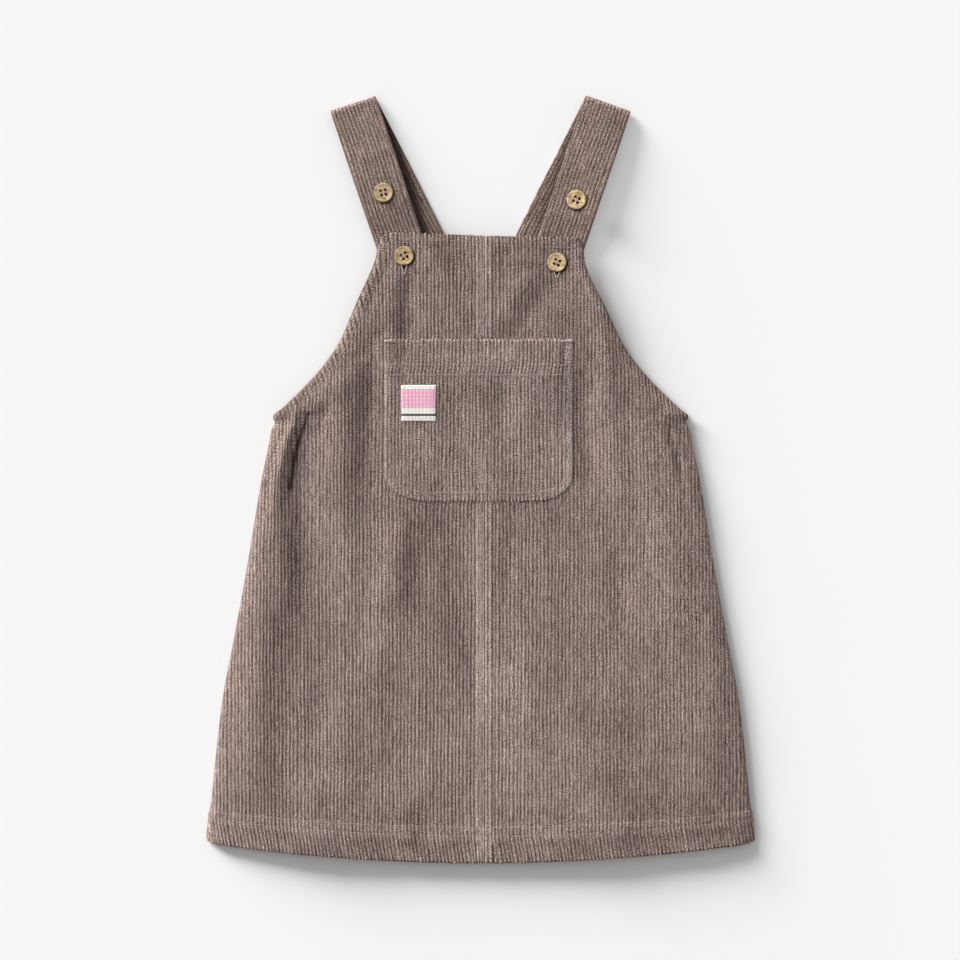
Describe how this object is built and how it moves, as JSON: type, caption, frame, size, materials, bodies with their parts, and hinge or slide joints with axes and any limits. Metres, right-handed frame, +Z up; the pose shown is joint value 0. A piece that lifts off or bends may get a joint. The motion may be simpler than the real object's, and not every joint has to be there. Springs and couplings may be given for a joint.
{
  "type": "pinafore dress",
  "caption": "Child's A-line corduroy pinafore dress with a bib, patch pocket and button straps, laid out flat on its back.",
  "frame": {"origin": "under the middle of the whole dress, on the surface that it lies on", "axes": "+X across the dress towards the right as seen from above with the straps at the top, +Y from the hem towards the straps, +Z up out of the surface"},
  "size_m": [0.3832, 0.537, 0.013],
  "materials": {
    "corduroy": "ribbed cotton pile",
    "strap_corduroy": "ribbed cotton pile",
    "label_cotton": "woven",
    "button_nut": "satin"
  },
  "bodies": {
    "root": {"front_left": "corduroy", "front_right": "corduroy", "back": "corduroy", "pocket": "corduroy", "label": "label_cotton", "strap_left": "strap_corduroy", "strap_right": "strap_corduroy", "button_bib_left": "button_nut", "button_bib_right": "button_nut", "button_spare_left": "button_nut", "button_spare_right": "button_nut"}
  },
  "joints": []
}
